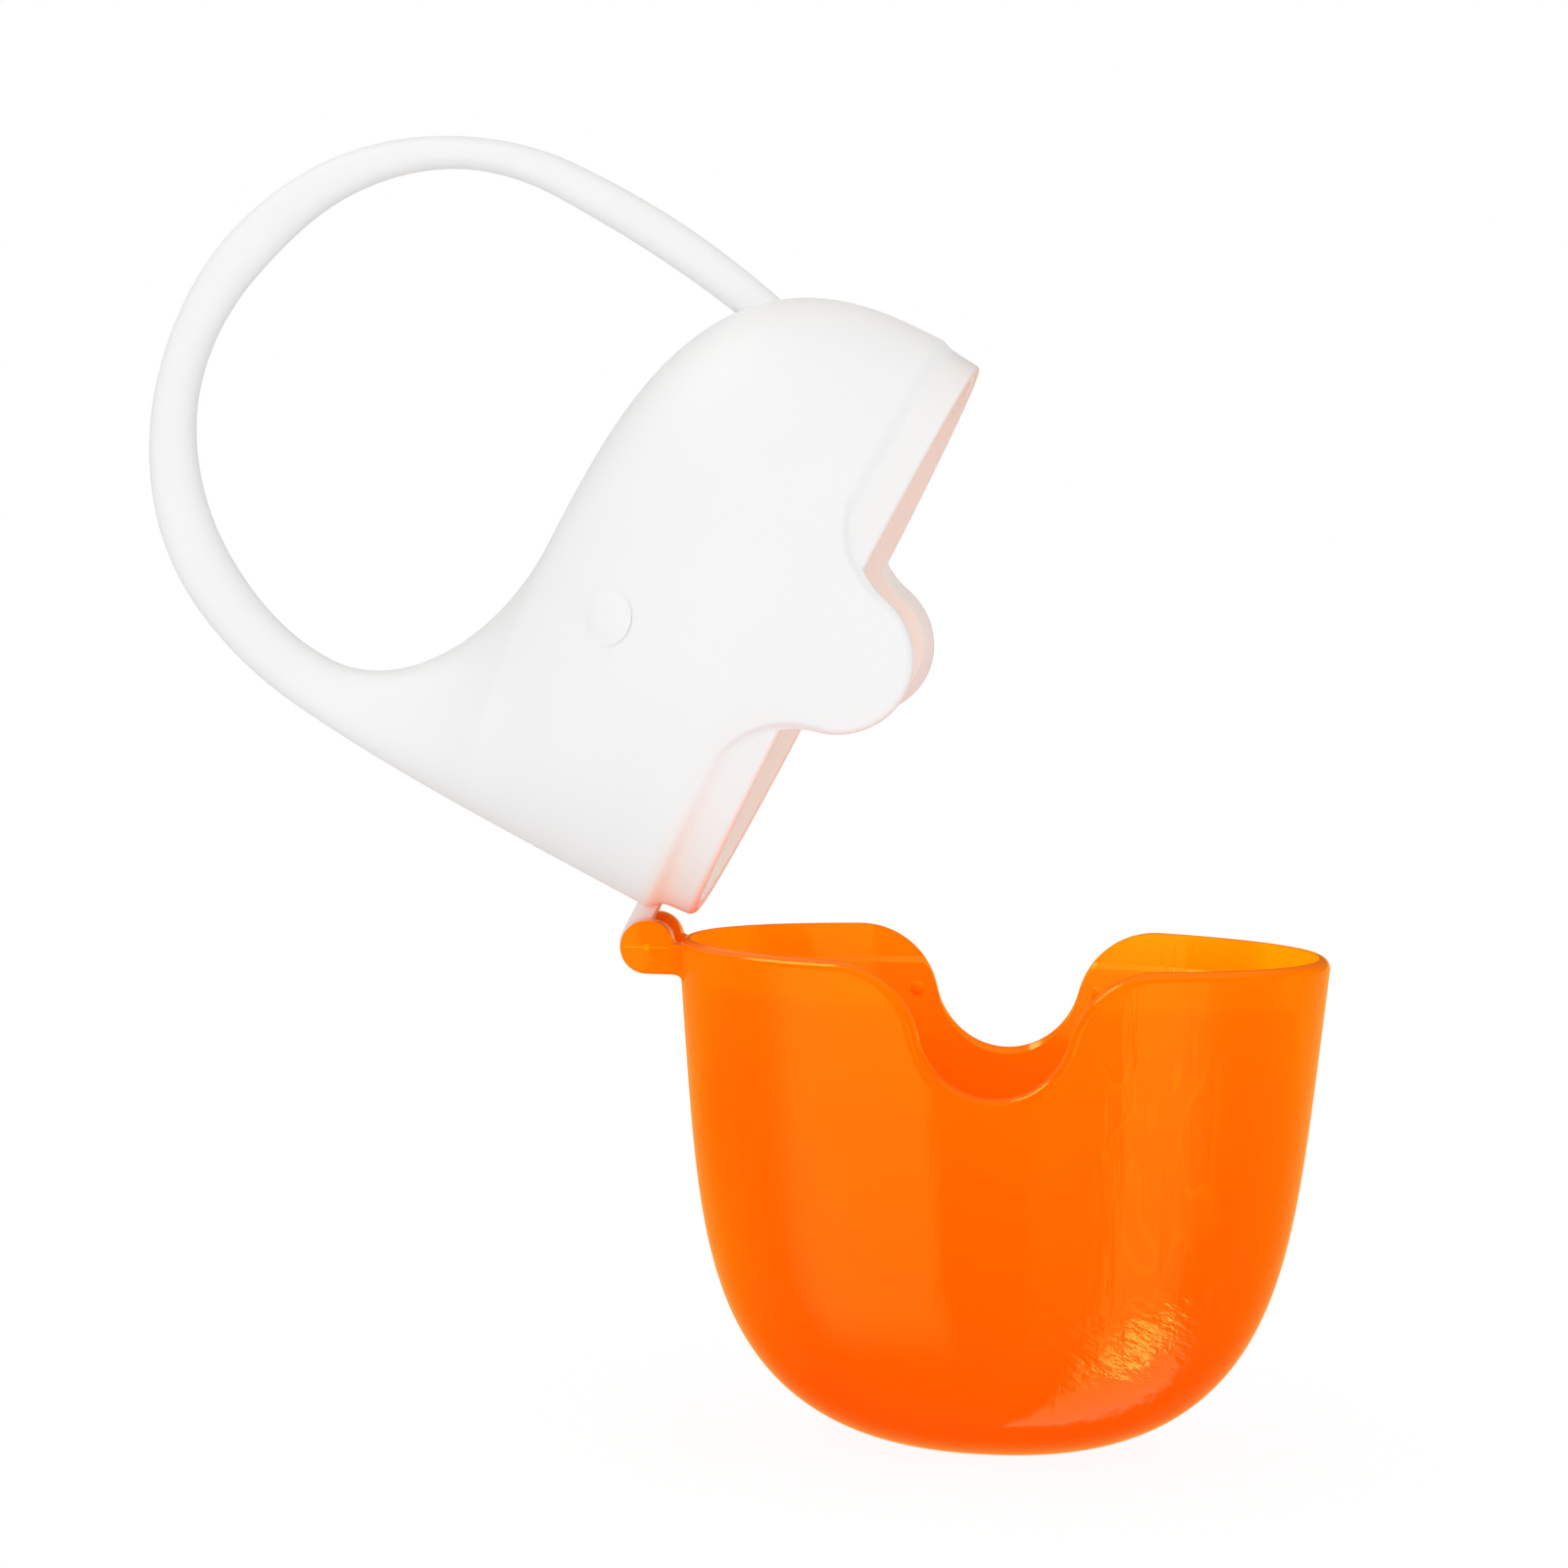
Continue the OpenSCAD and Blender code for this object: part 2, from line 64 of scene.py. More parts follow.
# The hinge: its pin's place, the ears and the knuckle
PIN_OUT, PIN_DROP = 2.95, 0.85
EAR_R, EAR_T, EAR_FILLET, EAR_BLEND, NECK_DROP = 2.86, 2.35, 1.2, 0.5, 0.5
KNUCKLE_R, KNUCKLE_IN, KNUCKLE_W, KNUCKLE_GAP, ARM_GAP = 3.25, 2.1, 5.3, 0.15, 0.25

HW, HD = CASE_W / 2, CASE_D / 2
PIN_X = HW + PIN_OUT
HINGE_W = KNUCKLE_W + 2 * (KNUCKLE_GAP + EAR_T)
CLOSE_H = BOWL_H / (1 - (BASE_W / CASE_W / (1 - DRAFT)) ** ROUND) ** (1 / TURN)
REACH = NOTCH_R + SHOULDER_R
FLANK = math.acos((REACH - NOTCH_DEPTH) / REACH)
SHOULDER_X = REACH * math.sin(FLANK)
SHELL_IN = COVER_T + LAYER_GAP
LINER_IN = SHELL_IN + SHELL_T + LAYER_GAP
CAVITY_IN = LINER_IN + LINER_T
LIP_IN = RIM_WALL + LIP_GAP
LINING_IN = LIP_IN + SHELL_T + LAYER_GAP
LINING_END = LINING_IN + LINER_T
NECK_W = HW - HINGE_IN - ROOT_LEAN - ROOT_W + SADDLE_X
# Shares of the neck's height that are dome, of the loop that are arch, and of it that its root takes
DOME_SHARE, ARCH_SHARE, ROOT_SHARE = 8 / 15, 0.75, 0.3
# How far up the neck a hollow in the lid reaches, and how much less for each millimetre of its inset
HOLLOW_END, HOLLOW_STEP = 0.9, 0.09
# Share of half the width from which the cover's edge is drawn in to the lid's outline, and over which
DRAWN_FROM, DRAWN_OVER = 0.45, 0.3

# Points of an arc of the notch and of the straight rim beside it, and steps round a small edge
ARC_N, RIM_N = ((20, 48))
ROUND_N = 9
# Angles in degrees above which an edge stays sharp
BOWL_CREASE, SHELL_CREASE, SOFT_CREASE, BEVEL_CREASE = 32, 35, 40, 50


# Shapes

def draw_in(depth):
    d = np.maximum(depth, 0)
    return (1 - DRAFT * d / BOWL_H) * np.maximum(1 - (d / CLOSE_H) ** TURN, 0) ** (1 / ROUND)


def plan_share(u):
    return np.maximum(1 - np.minimum(np.abs(u), 1) ** PLAN_P, 0) ** (1 / PLAN_P)


def half_edge(grow, wide, rim_z):
    """Half an edge line as share of wide and z, from the notch's middle to the end of the case."""
    rb, rs, zb = NOTCH_R + grow, SHOULDER_R - grow, NOTCH_R - NOTCH_DEPTH
    a = FLANK * np.arange(ARC_N + 1) / ARC_N
    b = FLANK * (1 - np.arange(1, ARC_N + 1) / ARC_N)
    first = SHOULDER_X / wide
    c = math.acos(first ** (PLAN_P / 2)) * (1 - np.arange(1, RIM_N + 1) / RIM_N)
    x = np.r_[rb * np.sin(a) / wide, (SHOULDER_X - rs * np.sin(b)) / wide, np.cos(c) ** (2 / PLAN_P)]
    z = np.r_[zb - rb * np.cos(a), np.minimum(rs * np.cos(b) - SHOULDER_R, rim_z), np.full(RIM_N, rim_z)]
    return x, z


def columns(edge):
    """A closed loop of share, side and z, counter-clockwise from above, from the hinge's end."""
    x, z = edge
    n = len(x) - 1
    share = np.r_[-x[:0:-1], x, x[n - 1::-1], -x[1:n]]
    height = np.r_[z[:0:-1], z, z[n - 1::-1], z[1:n]]
    side = np.r_[-np.ones(2 * n + 1), np.ones(2 * n - 1)]
    return share, side, height


def wall(cols, inset, z):
    share, side, _ = cols
    k = draw_in(-z)
    return np.c_[share * (HW * k - inset), side * (HD * k - inset) * plan_share(share), z + 0 * share]


def edge_loop(cols, inset, drop=0.0):
    return wall(cols, inset, cols[2] - drop)


def cover_loop(cols, inset):
    """A loop near the cover's edge, drawn in to meet the lid's own outline at both ends."""
    t = np.clip((np.abs(cols[0]) - DRAWN_FROM) / DRAWN_OVER, 0, 1)
    t = t * t * (3 - 2 * t)
    at_end = np.where(cols[0] < 0, HINGE_IN, FAR_IN)
    step = 1 + t * (SIDE_IN - at_end) / (LIP_IN - SIDE_IN)
    p = wall(cols, SIDE_IN + inset, cols[2])
    middle, spread = (HINGE_IN - FAR_IN) / 2, (HINGE_IN + FAR_IN) / 2
    p[:, 0] += t * (middle + (SIDE_IN - spread) * cols[0]) + cols[0] * inset * (1 - step)
    return p


def faded(bare, full):
    """Half an edge line that is bare along the notch's bottom and runs into full on the shoulder."""
    w = np.clip(2 - np.arange(len(full[0])) / ARC_N, 0, 1)
    return bare[0] * w + full[0] * (1 - w), bare[1] * w + full[1] * (1 - w)


def hinge_side(v, inset):
    return np.array([HINGE_IN + inset - HW + ROOT_LEAN * v ** LEAN_P, SIDE_Z + (ROOT_Z - SIDE_Z) * v])


def far_side(v, inset):
    if v <= DOME_SHARE:
        a = math.pi / 2 * v / DOME_SHARE
        return np.array([
            SADDLE_X + (HW - FAR_IN - SADDLE_X - inset) * max(math.cos(a), 0) ** (2 / DOME_P),
            SIDE_Z + (LID_H - SIDE_Z - inset) * math.sin(a) ** (2 / DOME_P)])
    a = math.pi / 2 * (v - DOME_SHARE) / (1 - DOME_SHARE)
    return np.array([SADDLE_X - (NECK_W + inset) * math.sin(a),
                     ROOT_Z - (ROOT_Z - LID_H + inset) * math.cos(a)])


def lid_half_d(v):
    return ROOT_D / 2 + (HD - SIDE_IN - ROOT_D / 2) * (1 + math.cos(math.pi * v ** NARROW_P)) / 2


def lid_points(share, side, v, inset):
    """A loop round the lid, between its hinge side and its far side at the share v of its height."""
    p, q = hinge_side(v, inset), far_side(v, inset)
    m = (p + q) / 2 + np.outer(share, (q - p) / 2)
    return np.c_[m[:, 0], side * (lid_half_d(v) - inset) * plan_share(share), m[:, 1]]


def lid_rows(inset, count, end=None):
    """Shares of the lid's height, from its lowest outline to the neck, one for each loop."""
    end = HOLLOW_END - HOLLOW_STEP * inset if end is None else end
    return [end * i / count for i in range(count + 1)]


def closed_to_world(p):
    """From the closed lid's millimetres, with the rim at 0, to metres with the lid opened."""
    a = math.radians(LID_OPEN)
    x, z = p[:, 0] + PIN_X, p[:, 2] + PIN_DROP
    return np.c_[x * math.cos(a) - z * math.sin(a) - PIN_X, p[:, 1],
                 x * math.sin(a) + z * math.cos(a) + BOWL_H - PIN_DROP] / 1000


def world_to_closed(p):
    a = math.radians(LID_OPEN)
    x, z = p[:, 0] * 1000 + PIN_X, p[:, 2] * 1000 - BOWL_H + PIN_DROP
    return np.c_[x * math.cos(a) + z * math.sin(a) - PIN_X, p[:, 1] * 1000,
                 z * math.cos(a) - x * math.sin(a) - PIN_DROP]


def bowl_to_world(p):
    return (p + [0, 0, BOWL_H]) / 1000


def full_turn(count):
    return np.linspace(0, 2 * math.pi, count, endpoint=False)


# Meshes

def add_mesh(name, verts, faces, material):
    mesh = bpy.data.meshes.new(name)
    mesh.from_pydata([tuple(v) for v in verts], [], faces)
    mesh.validate()
    mesh.update()
    obj = bpy.data.objects.new(name, mesh)
    bpy.context.scene.collection.objects.link(obj)
    mesh.materials.append(material)
    for poly in mesh.polygons:
        poly.use_smooth = True
    return obj


def skin(name, loops, place, material, caps=(True, True)):
    """A surface over loops of points, with its first and its last loop closed if caps says so."""
    n, m = len(loops[0]), len(loops)
    verts = place(np.concatenate(loops))
    faces = [(j * n + i, j * n + (i + 1) % n, (j + 1) * n + (i + 1) % n, (j + 1) * n + i)
             for j in range(m - 1) for i in range(n)]
    if caps[0]:
        faces.append(tuple(range(n - 1, -1, -1)))
    if caps[1]:
        faces.append(tuple((m - 1) * n + i for i in range(n)))
    return add_mesh(name, verts, faces, material)


def paint(obj, layer, rule):
    """Gives each point of a lid piece a number from its place with the lid closed."""
    mesh = obj.data
    at = np.empty(len(mesh.vertices) * 3)
    mesh.vertices.foreach_get("co", at)
    values = np.clip(rule(world_to_closed(at.reshape(-1, 3))), 0, 1).astype(float)
    mesh.attributes.new(layer, "FLOAT", "POINT").data.foreach_set("value", values)


def crease(obj, angle):
    """Keeps edges sharper than the angle in degrees, and smooths the rest."""
    bpy.context.view_layer.objects.active = obj
    for o in bpy.context.selected_objects:
        o.select_set(False)
    obj.select_set(True)
    bpy.ops.object.shade_smooth_by_angle(angle=math.radians(angle))
    return obj


def plate(name, outline, y0, y1, place, material, bevel, segments):
    """A side view in x and z on the hinge's axis, given thickness along y and bevelled edges."""
    pts = np.array(outline, float)
    n = len(pts)
    at = np.array([-PIN_X, 0, -PIN_DROP])
    front = np.c_[pts[:, 0], np.full(n, y0), pts[:, 1]] + at
    back = np.c_[pts[:, 0], np.full(n, y1), pts[:, 1]] + at
    faces = [tuple(range(n)), tuple(range(2 * n - 1, n - 1, -1))]
    faces += [(i, n + i, n + (i + 1) % n, (i + 1) % n) for i in range(n)]
    obj = add_mesh(name, place(np.r_[front, back]), faces, material)
    bevelled = obj.modifiers.new("bevel", "BEVEL")
    bevelled.width = bevel / 1000
    bevelled.segments = segments
    bevelled.limit_method = "ANGLE"
    bevelled.angle_limit = math.radians(BEVEL_CREASE)
    return obj


def arc(cx, cz, r, a0, a1, n):
    return [(cx + r * math.cos(math.radians(a0 + (a1 - a0) * i / n)),
             cz + r * math.sin(math.radians(a0 + (a1 - a0) * i / n))) for i in range(n + 1)]


def join(name, objs):
    """One object from several, with their modifiers applied first."""
    graph = bpy.context.evaluated_depsgraph_get()
    merged = bmesh.new()
    for o in objs:
        mesh = bpy.data.meshes.new_from_object(o.evaluated_get(graph))
        merged.from_mesh(mesh)
        bpy.data.meshes.remove(mesh)
    mesh = bpy.data.meshes.new(name)
    merged.to_mesh(mesh)
    merged.free()
    out = bpy.data.objects.new(name, mesh)
    bpy.context.scene.collection.objects.link(out)
    for material in objs[0].data.materials:
        mesh.materials.append(material)
    for o in objs:
        bpy.data.objects.remove(o)
    for poly in mesh.polygons:
        poly.use_smooth = True
    return out


# Materials

def new_material(name):
    material = bpy.data.materials.new(name)
    material.use_nodes = True
    material.node_tree.nodes.clear()
    return material, material.node_tree


def plastic(name, roughness, ior):
    material, tree = new_material(name)
    out = node(tree, "ShaderNodeOutputMaterial")
    shader = node(tree, "ShaderNodeBsdfPrincipled", Roughness=roughness, IOR=ior)
    tree.links.new(shader.outputs[0], out.inputs[0])
    return material, tree, shader


def feed(tree, socket, value):
    """Puts a number, a colour or what another node gives on a socket."""
    if isinstance(value, (int, float, tuple)):
        socket.default_value = value
    else:
        tree.links.new(value, socket)


def node(tree, kind, **values):
    """A new node with its properties and the values of its sockets."""
    n = tree.nodes.new(kind)
    for key, value in values.items():
        if hasattr(n, key):
            setattr(n, key, value)
        else:
            n.inputs[key.replace("_", " ")].default_value = value
    return n


def noise(tree, scale, detail=2.0, stretch=(1, 1, 1), roughness=0.5, turn=(0, 0, 0)):
    """Noise in the object's own metres, finer by stretch along each axis, turned first if turn is set."""
    coord = node(tree, "ShaderNodeTexCoord")
    mapping = node(tree, "ShaderNodeMapping", vector_type="TEXTURE" if any(turn) else "POINT")
    mapping.inputs["Scale"].default_value = [1 / k for k in stretch] if any(turn) else stretch
    mapping.inputs["Rotation"].default_value = [math.radians(a) for a in turn]
    clouds = node(tree, "ShaderNodeTexNoise", Scale=scale, Detail=detail, Roughness=roughness)
    tree.links.new(coord.outputs["Object"], mapping.inputs["Vector"])
    tree.links.new(mapping.outputs[0], clouds.inputs["Vector"])
    return clouds.outputs["Fac"]


def ramp(tree, source, stops):
    scale = node(tree, "ShaderNodeValToRGB")
    while len(scale.color_ramp.elements) < len(stops):
        scale.color_ramp.elements.new(0.5)
    for stop, (position, colour) in zip(scale.color_ramp.elements, stops):
        stop.position = position
        stop.color = (*colour, 1)
    tree.links.new(source, scale.inputs[0])
    return scale.outputs[0]


def wandering(tree, scale, detail, low, high):
    """A colour that wanders a little between low and high."""
    return ramp(tree, noise(tree, scale, detail), [(0.3, low), (0.7, high)])


def bump(tree, shader, height, strength, distance):
    b = node(tree, "ShaderNodeBump", Strength=strength, Distance=distance)
    tree.links.new(height, b.inputs["Height"])
    tree.links.new(b.outputs[0], shader.inputs["Normal"])


def blended(tree, factor, base, colour):
    """The base, a node's colour or four numbers, run into a colour of three numbers by the factor."""
    m = node(tree, "ShaderNodeMix", data_type="RGBA")
    tree.links.new(factor, m.inputs["Factor"])
    feed(tree, m.inputs["A"], base)
    m.inputs["B"].default_value = (*colour, 1)
    return m.outputs["Result"]


def painted(tree, base, layer, colour):
    """The base, run into the colour where the named layer is painted."""
    share = node(tree, "ShaderNodeAttribute", attribute_name=layer)
    return blended(tree, share.outputs["Fac"], base, colour)


def math_node(tree, operation, *values):
    m = node(tree, "ShaderNodeMath", operation=operation)
    for socket, value in zip(m.inputs, values):
        feed(tree, socket, value)
    return m.outputs[0]


def mix(tree, factor, a, b):
    m = node(tree, "ShaderNodeMix", data_type="FLOAT")
    for socket, value in zip(m.inputs[:1] + m.inputs[2:4], (factor, a, b)):
        feed(tree, socket, value)
    return m.outputs[0]


def smooth(tree, value, start, end, low=0.0, high=1.0):
    """Eases from low to high while the value goes from start to end."""
    m = node(tree, "ShaderNodeMapRange", interpolation_type="SMOOTHSTEP")
    tree.links.new(value, m.inputs["Value"])
    for socket, v in zip(("From Min", "From Max", "To Min", "To Max"), (start, end, low, high)):
        m.inputs[socket].default_value = v
    return m.outputs["Result"]


def band(tree, value, start, full, fade, end):
    """Eases from 0 to 1 between start and full, and back to 0 between fade and end."""
    rise, fall = smooth(tree, value, start, full), smooth(tree, value, fade, end, 1.0, 0.0)
    return math_node(tree, "MULTIPLY", rise, fall)


def axes(tree, source):
    """The x, y and z of a vector."""
    parts = node(tree, "ShaderNodeSeparateXYZ")
    tree.links.new(source, parts.inputs[0])
    return [parts.outputs[k] for k in "XYZ"]


# Painted light: the white of the lid where the bowl's orange shines onto it, next to the hinge, and the
# lip's rounded end, painted with the same orange light
GLOW, LIP_END_GLOW = (1.0, 0.66, 0.50), (0.95, 0.80, 0.73)


def white_soft():
    material, tree, shader = plastic("soft_white", 0.6, 1.42)
    colour = wandering(tree, 60.0, 3.0, (0.872, 0.872, 0.872), (0.888, 0.888, 0.888))
    tree.links.new(painted(tree, colour, "glow", GLOW), shader.inputs["Base Color"])
    bump(tree, shader, noise(tree, 2600.0), 0.12, 0.00004)
    return material


def shell_white():
    material, tree, shader = plastic("shell_white", 0.4, 1.46)
    colour = wandering(tree, 90.0, 2.0, (0.875, 0.868, 0.862), (0.892, 0.885, 0.878))
    # Painted orange light on the lip's rounded end
    colour = painted(tree, colour, "peach", LIP_END_GLOW)
    tree.links.new(painted(tree, colour, "glow", GLOW), shader.inputs["Base Color"])
    return material


def peach():
    material, tree, shader = plastic("liner_peach", 0.42, 1.46)
    colour = wandering(tree, 45.0, 2.0, (0.94, 0.925, 0.90), (0.96, 0.945, 0.92))
    tree.links.new(colour, shader.inputs["Base Color"])
    # A faint orange emission: a painted glow of the bowl's orange light through and onto the lining
    shader.inputs["Emission Color"].default_value = (1.0, 0.55, 0.25, 1)
    shader.inputs["Emission Strength"].default_value = 0.05
    return material


# The bowl's tone rises with the height, painted shade at the foot and painted light toward the rim: from
# where and over which span in metres, and by how much
TONE_FROM, TONE_SPAN, TONE_RISE = 0.004, 0.051, 0.8
# Inside, it is held at 1 and scaled, to leave room for painted light and shade by the side: a darker
# left and a lighter right. Metres from the middle: the left end of the inside, clear of the ears, and
# where the left's change runs into the right's
INSIDE_SCALE, LEFT_END, LEFT_TO_RIGHT = 0.8, (-0.0354, -0.0346), (-0.022, 0.022)
# The seat step, where the wall gets thin: how far its height drifts and how soft it is, in metres
SEAT_DRIFT, SEAT_SOFT = 0.0008, 0.0012
SEAT_AT = (BOWL_H - SEAT_DROP) / 1000 + SEAT_DRIFT / 2
# Places in metres where marks of the plastic's flow start, are full, start to fade and have faded:
# thin lines by x and z, and the relief by x, with its short steep part near the foot by z
LINES_X, LINES_Z = (0.010, 0.0125, 0.021, 0.029), (0.012, 0.020, 0.042, 0.049)
RELIEF_X, SWIRL_Z = (0.003, 0.011, 0.019, 0.027), (0.006, 0.011, 0.017, 0.024)
LINES_N, LINES_TONE = 16.0, 0.20


def flow_lines(tree, x, z):
    """Thin lighter lines of the plastic's flow, like wood grain, up the right side."""
    grain = math_node(tree, "MULTIPLY", noise(tree, 1.0, 2.0, (95, 120, 24)), LINES_N)
    lines = smooth(tree, math_node(tree, "FRACT", grain), 0.0, 0.35, LINES_TONE, 0.0)
    place = math_node(tree, "MULTIPLY", band(tree, x, *LINES_X), band(tree, z, *LINES_Z))
    return math_node(tree, "MULTIPLY", lines, place)


def relief(tree, x, z):
    """Waves and ripples all over, and flow marks: long up the right side, short and steep at its foot."""
    waves = noise(tree, 1.0, 1.0, (75, 75, 22))
    ripples = noise(tree, 1.0, 2.0, (330, 330, 90), 0.55)
    height = math_node(tree, "MULTIPLY_ADD", ripples, 0.10, waves)
    flow = noise(tree, 1.0, 3.0, (520, 300, 55), 0.6)
    swirl = noise(tree, 1.0, 3.0, (150, 300, 620), 0.65, (0, 35, 0))
    marks = math_node(tree, "MULTIPLY", swirl, math_node(tree, "MULTIPLY", band(tree, z, *SWIRL_Z), 0.75))
    marks = math_node(tree, "MULTIPLY_ADD", flow, 0.35, marks)
    return math_node(tree, "MULTIPLY_ADD", marks, band(tree, x, *RELIEF_X), height)


def orange(name, tones, painted_glow, left=0.0, right=0.0):
    """Clear orange plastic. Its tone goes by the height, painted shade at the foot and painted light up
    to the rim, a little lighter still above the seat where the wall is thin. It is lighter on the two
    ends, under the foot and low on the left, as painted light, and in faint clouds and lines. Left and
    right change it by the side."""
    material, tree, shader = plastic(name, 0.08, 1.5)
    geometry = node(tree, "ShaderNodeNewGeometry")
    facing_x, _, facing_z = axes(tree, geometry.outputs["True Normal"])
    x, _, z = axes(tree, node(tree, "ShaderNodeTexCoord").outputs["Object"])
    # Painted light: lighter where the wall faces either end, where it faces down under the foot, and low
    # on the left
    across = smooth(tree, math_node(tree, "ABSOLUTE", facing_x), 0.55, 1.0, 0.0, 0.5)
    under = smooth(tree, facing_z, -0.97, -0.72, 0.40, 0.0)
    lit_low_left = smooth(tree, facing_x, -0.75, -0.35, 0.40, 0.0)
    lit_low_left = math_node(tree, "MULTIPLY", lit_low_left, smooth(tree, z, 0.018, 0.040, 1.0, 0.0))
    edge = math_node(tree, "MULTIPLY_ADD", noise(tree, 70.0), SEAT_DRIFT, z)
    thin = smooth(tree, edge, SEAT_AT - SEAT_SOFT, SEAT_AT + SEAT_SOFT, 0.0, 0.13)
    patch = smooth(tree, noise(tree, 45.0, 3.0, (1, 1, 0.5)), 0.35, 0.75, -0.03, 0.05)
    tone = math_node(tree, "MULTIPLY_ADD", z, TONE_RISE / TONE_SPAN, -TONE_FROM * TONE_RISE / TONE_SPAN)
    for part in (across, under, lit_low_left, thin, patch, flow_lines(tree, x, z)):
        tone = math_node(tree, "ADD", tone, part)
    # Painted light and shade inside: darker on the left, lighter on the right
    if left or right:
        tone = math_node(tree, "MULTIPLY", math_node(tree, "MINIMUM", tone, 1.0), INSIDE_SCALE)
        tone = math_node(tree, "ADD", tone, smooth(tree, x, *LEFT_END, 0.0, left))
        tone = math_node(tree, "ADD", tone, smooth(tree, x, *LEFT_TO_RIGHT, 0.0, right - left))
    colour = ramp(tree, tone, [(position, (1.0, green, 0.0)) for position, green in tones])
    tree.links.new(colour, shader.inputs["Base Color"])
    shader.inputs["Specular Tint"].default_value = (1.0, 0.7, 0.05, 1)
    # A faint orange emission: a painted glow for light coming through the clear plastic
    shader.inputs["Emission Color"].default_value = (1.0, 0.10, 0.0, 1)
    shader.inputs["Emission Strength"].default_value = painted_glow
    shader.inputs["Subsurface Weight"].default_value = 0.12
    shader.inputs["Subsurface Radius"].default_value = (0.006, 0.0022, 0.0003)
    bump(tree, shader, relief(tree, x, z), 1.0, 0.00030)
    return material


SOFT = white_soft()
SHELL = shell_white()
PEACH = peach()
# The green of the plastic's colour by its tone. The inside's lighter tones and stronger glow are painted
# light coming through the thin wall, a lit copy of the outside
OUTSIDE_TONES = ((0.0, 0.088), (0.2, 0.106), (0.4, 0.122), (0.52, 0.133), (0.72, 0.155), (0.9, 0.185),
                 (1.0, 0.21))
INSIDE_LIT_TONES = ((0.0, 0.16), (0.32, 0.21), (0.56, 0.28), (0.68, 0.34), (0.8, 0.46), (0.92, 0.61))
ORANGE = orange("bowl_orange", OUTSIDE_TONES, 0.12)
ORANGE_IN_LIT = orange("bowl_orange_inside_lit", INSIDE_LIT_TONES, 0.20, -0.10, 0.12)


# Bowl

# The least height of the straight band under the rim, and the ears' small rounding
BAND_MIN, EAR_EDGE, EAR_EDGE_N = 0.1, 0.65, 6
# The front ear's seam and the small star on it: the length of each bar and its turn in degrees
SEAM_BARS = ((4.8, 0), (0.9, 50), (0.9, 130), (0.7, 90))
SEAM_HALF_W, SEAM_UP, SEAM_DEEP, SEAM_EDGE, SEAM_EDGE_N = 0.05, 0.05, 0.1, 0.02, 2
# A pip's first ring lies inside the wall: how much wider than the pip it is, the radius of the last
# ring, and how many there are
PIP_SKIRT, PIP_TIP, PIP_RINGS = 0.15, 0.05, 9


def build_bowl():
    wall_n = 90
    outer = columns(half_edge(RIM_EDGE, HW * draw_in(RIM_EDGE), -RIM_EDGE))
    top = columns(half_edge(0, HW - RIM_EDGE, 0))
    inner = columns(half_edge(0, HW - RIM_WALL, 0))
    loops = []
    for i in range(wall_n, 0, -1):
        s = math.sin(math.pi / 2 * i / wall_n)
        loops.append(wall(outer, 0, outer[2] + (-BOWL_H - outer[2]) * s))
    for i in range(ROUND_N):
        a = math.pi / 2 * i / ROUND_N
        grow, inset = RIM_EDGE * (1 - math.sin(a)), RIM_EDGE * (1 - math.cos(a))
        c = columns(half_edge(grow, HW * draw_in(grow) - inset, -grow))
        loops.append(edge_loop(c, inset))
    loops.append(edge_loop(top, RIM_EDGE))
    loops.append(edge_loop(inner, RIM_WALL))
    inside_from = len(loops)
    band_z = np.minimum(inner[2] - BAND_MIN, SEAT_BEVEL - SEAT_DROP)
    for t in (0.02, 0.5, 1.0):
        loops.append(wall(inner, RIM_WALL, inner[2] + (band_z - inner[2]) * t))
    for t in (0.35, 0.7, 1.0):
        loops.append(wall(inner, RIM_WALL + (BOWL_WALL - RIM_WALL) * t, band_z - SEAT_BEVEL * t))
    seat_z = band_z - SEAT_BEVEL
    for i in range(1, wall_n + 1):
        s = math.sin(math.pi / 2 * i / wall_n)
        loops.append(wall(inner, BOWL_WALL, seat_z + (FLOOR_T - BOWL_H - seat_z) * s))
    body = skin("bowl_wall", loops, bowl_to_world, ORANGE)
    body.data.materials.append(ORANGE_IN_LIT)
    n = len(inner[0])
    for poly in body.data.polygons[inside_from * n:]:
        poly.material_index = 1
    # The foot's own face comes first of the two that close the skin
    body.data.polygons[(len(loops) - 1) * n].material_index = 0
    return body


def ear_outline():
    wall_x = HW * draw_in(PIN_DROP + EAR_R + EAR_FILLET) * plan_share(HINGE_W / 2 / HD)
    into, top, foot = PIN_OUT + RIM_WALL, PIN_DROP - NECK_DROP, PIN_X - wall_x - EAR_FILLET
    a = math.degrees(math.asin((top + EAR_BLEND) / (EAR_R + EAR_BLEND)))
    blend_x = (EAR_R + EAR_BLEND) * math.cos(math.radians(a))
    pts = arc(0, 0, EAR_R, a, 270, 72)
    pts += arc(foot, -EAR_R - EAR_FILLET, EAR_FILLET, 90, 0, 12)
    pts += [(into, -EAR_R - EAR_FILLET), (into, top)]
    return pts + arc(blend_x, top + EAR_BLEND, EAR_BLEND, 270, 180 + a, 8)[:-1]


